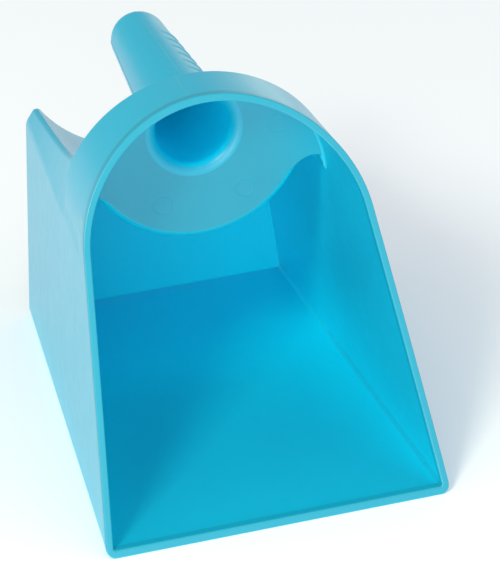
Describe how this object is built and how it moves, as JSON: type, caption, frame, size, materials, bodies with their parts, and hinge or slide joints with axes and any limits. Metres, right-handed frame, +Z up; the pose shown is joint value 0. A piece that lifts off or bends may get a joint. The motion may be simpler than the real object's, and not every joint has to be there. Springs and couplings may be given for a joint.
{
  "type": "feed scoop",
  "caption": "Hooded feed scoop in one moulded plastic shell: flat floor, leaning side walls, raked arched mouth, hollow round handle set in an upright plate over a knuckle trough.",
  "frame": {"origin": "centre of the scoop's footprint, on the surface that its floor rests on", "axes": "+X to the scoop's right seen from its mouth, +Y from the front lip to the rear wall and the handle's end, +Z up"},
  "size_m": [0.154, 0.234, 0.1696],
  "materials": {
    "shell_plastic": "semi-gloss injection-moulded polypropylene, turquoise",
    "handle_plastic": "semi-gloss injection-moulded polypropylene, turquoise"
  },
  "bodies": {
    "root": {"front_lip": "shell_plastic", "mouth_rim": "shell_plastic", "floor_panel": "shell_plastic", "left_side_wall": "shell_plastic", "right_side_wall": "shell_plastic", "rear_wall": "shell_plastic", "hood_band": "shell_plastic", "handle_plate": "shell_plastic", "knuckle_trough": "shell_plastic", "left_shoulder": "shell_plastic", "right_shoulder": "shell_plastic", "handle_grip": "handle_plastic", "handle_end": "handle_plastic"}
  },
  "joints": []
}
